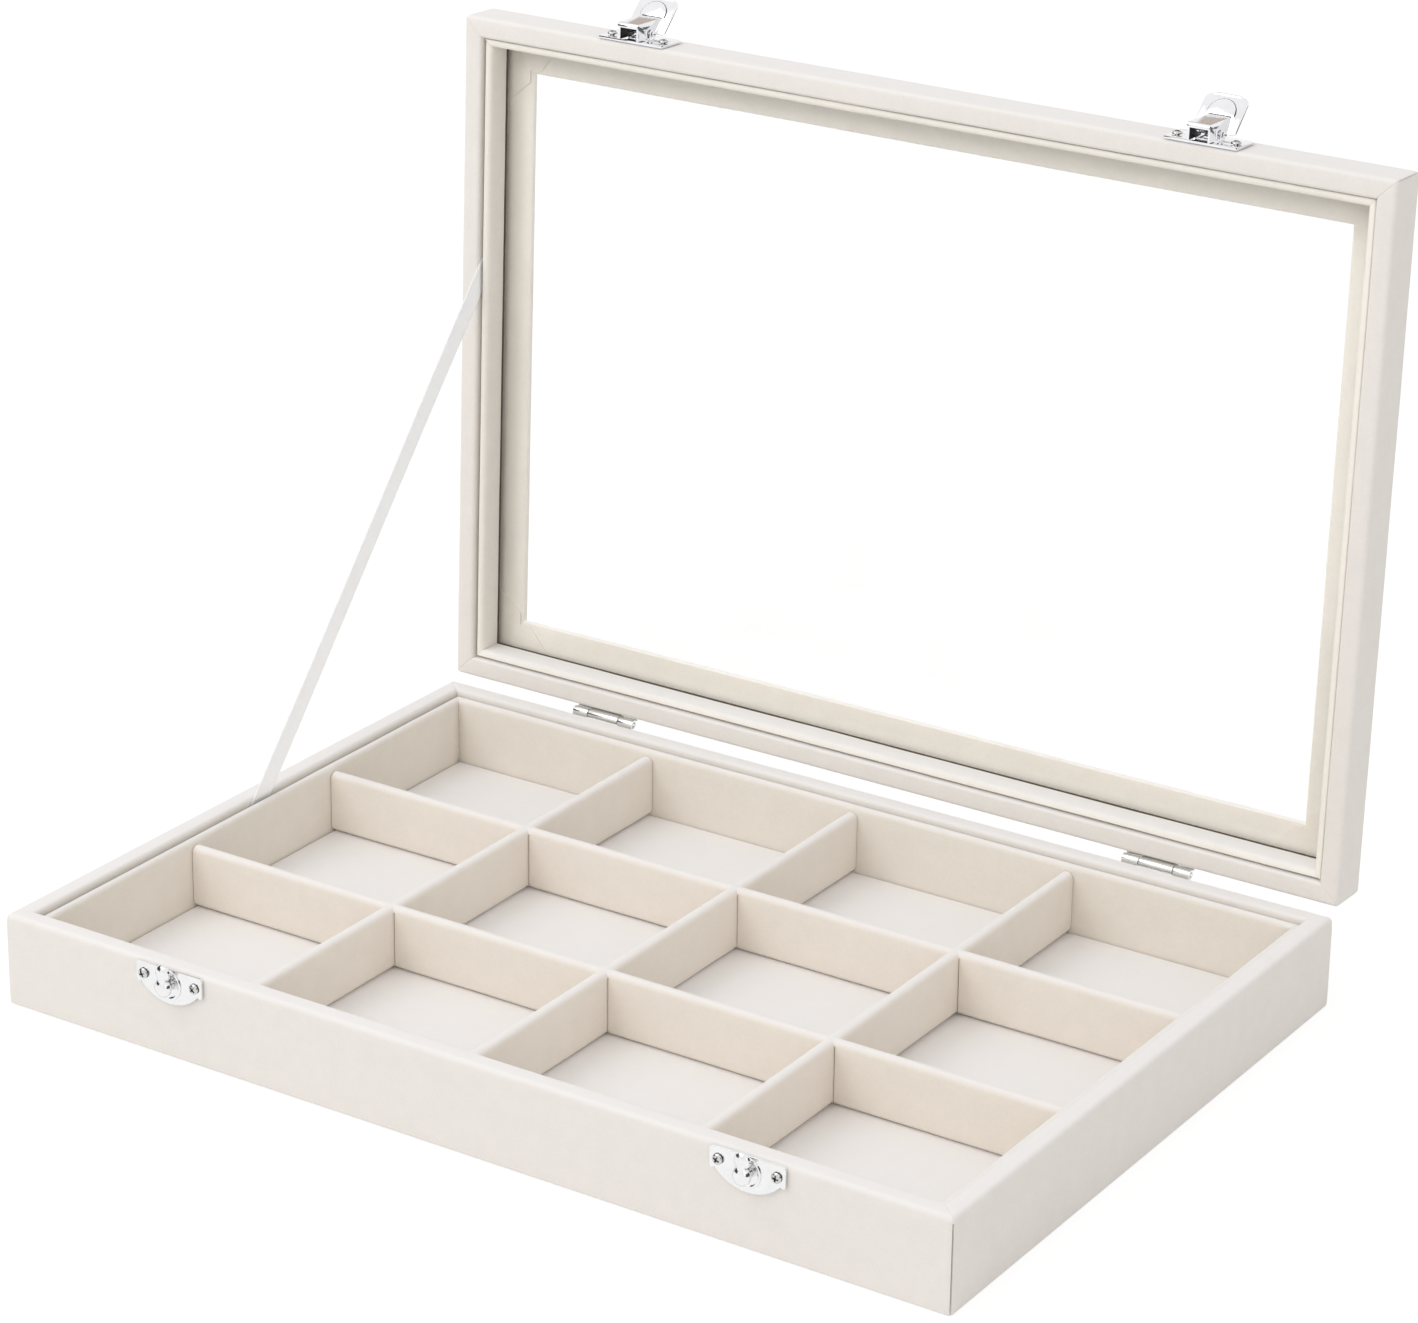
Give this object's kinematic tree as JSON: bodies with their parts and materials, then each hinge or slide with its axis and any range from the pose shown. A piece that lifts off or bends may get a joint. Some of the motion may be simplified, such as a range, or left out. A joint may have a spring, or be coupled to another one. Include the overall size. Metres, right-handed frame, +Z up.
{
  "type": "jewelry display case",
  "caption": "Shallow velvet-covered jewelry tray divided into open compartments, with a hinged glazed lid, spring latches and a ribbon stay.",
  "frame": {"origin": "centre of the tray's underside, on the surface that the case stands on", "axes": "+Z up; -Y out of the front, which has the strikes; +X to the right for someone at the front; the lid stands open behind the tray"},
  "size_m": [0.35, 0.2765, 0.2857],
  "materials": {
    "wall_velvet": "short-pile cream velvet stretched over board",
    "liner_velvet": "short-pile cream velvet over thin board",
    "divider_velvet": "cream velvet folded over board",
    "pad_velvet": "soft pale velvet pad",
    "bottom_board": "plain fibreboard",
    "clear_pane": "clear polished pane",
    "latch_chrome": "bright plated sheet",
    "strike_chrome": "bright plated sheet",
    "screw_nickel": "nickel plated",
    "hinge_nickel": "nickel plated",
    "spring_wire": "drawn spring wire",
    "ribbon_satin": "white satin ribbon"
  },
  "bodies": {
    "tray": {"tray_front_wall": "wall_velvet", "tray_back_wall": "wall_velvet", "tray_left_wall": "wall_velvet", "tray_right_wall": "wall_velvet", "tray_bottom_panel": "bottom_board", "tray_floor_pad": "pad_velvet", "tray_front_liner": "liner_velvet", "tray_back_liner": "liner_velvet", "tray_left_liner": "liner_velvet", "tray_right_liner": "liner_velvet", "long_divider_1": "divider_velvet", "long_divider_2": "divider_velvet", "cross_divider_1": "divider_velvet", "cross_divider_2": "divider_velvet", "cross_divider_3": "divider_velvet", "strike_plate_left": "strike_chrome", "strike_plate_right": "strike_chrome", "strike_knob_left": "strike_chrome", "strike_knob_right": "strike_chrome", "strike_screw_left_1": "screw_nickel", "strike_screw_left_2": "screw_nickel", "strike_screw_right_1": "screw_nickel", "strike_screw_right_2": "screw_nickel", "hinge_tray_leaf_left": "hinge_nickel", "hinge_tray_leaf_right": "hinge_nickel", "hinge_pin_left": "hinge_nickel", "hinge_pin_right": "hinge_nickel", "hinge_tray_screw_left_1": "screw_nickel", "hinge_tray_screw_left_2": "screw_nickel", "hinge_tray_screw_right_1": "screw_nickel", "hinge_tray_screw_right_2": "screw_nickel", "lid_ribbon": "ribbon_satin"},
    "lid": {"lid_front_wall": "wall_velvet", "lid_back_wall": "wall_velvet", "lid_left_wall": "wall_velvet", "lid_right_wall": "wall_velvet", "lid_face_frame": "wall_velvet", "lid_pane": "clear_pane", "lid_front_liner": "liner_velvet", "lid_back_liner": "liner_velvet", "lid_left_liner": "liner_velvet", "lid_right_liner": "liner_velvet", "hinge_lid_leaf_left": "hinge_nickel", "hinge_lid_leaf_right": "hinge_nickel", "hinge_lid_screw_left_1": "screw_nickel", "hinge_lid_screw_left_2": "screw_nickel", "hinge_lid_screw_right_1": "screw_nickel", "hinge_lid_screw_right_2": "screw_nickel", "latch_plate_left": "latch_chrome", "latch_plate_right": "latch_chrome", "latch_pin_left": "latch_chrome", "latch_pin_right": "latch_chrome", "latch_spring_left": "spring_wire", "latch_spring_right": "spring_wire", "latch_screw_left_1": "screw_nickel", "latch_screw_left_2": "screw_nickel", "latch_screw_right_1": "screw_nickel", "latch_screw_right_2": "screw_nickel"},
    "lever_left": {"latch_lever_left": "latch_chrome"},
    "lever_right": {"latch_lever_right": "latch_chrome"}
  },
  "joints": [
    {"name": "lid_hinge", "type": "hinge", "parent": "tray", "child": "lid", "pos_m": [0, 0.1219, 0.03165], "axis": [1, 0, 0], "range_deg": [0, 92], "deforming": ["lid_ribbon"]},
    {"name": "latch_left", "type": "hinge", "parent": "lid", "child": "lever_left", "pos_m": [-0.107, 0.13759, 0.276], "axis": [-1, 0, 0], "range_deg": [0, 16], "stiffness_Nm_per_rad": 0.03, "springref_deg": -22.92, "deforming": ["latch_spring_left"]},
    {"name": "latch_right", "type": "hinge", "parent": "lid", "child": "lever_right", "pos_m": [0.107, 0.13759, 0.276], "axis": [-1, 0, 0], "range_deg": [0, 16], "stiffness_Nm_per_rad": 0.03, "springref_deg": -22.92, "deforming": ["latch_spring_right"]}
  ]
}
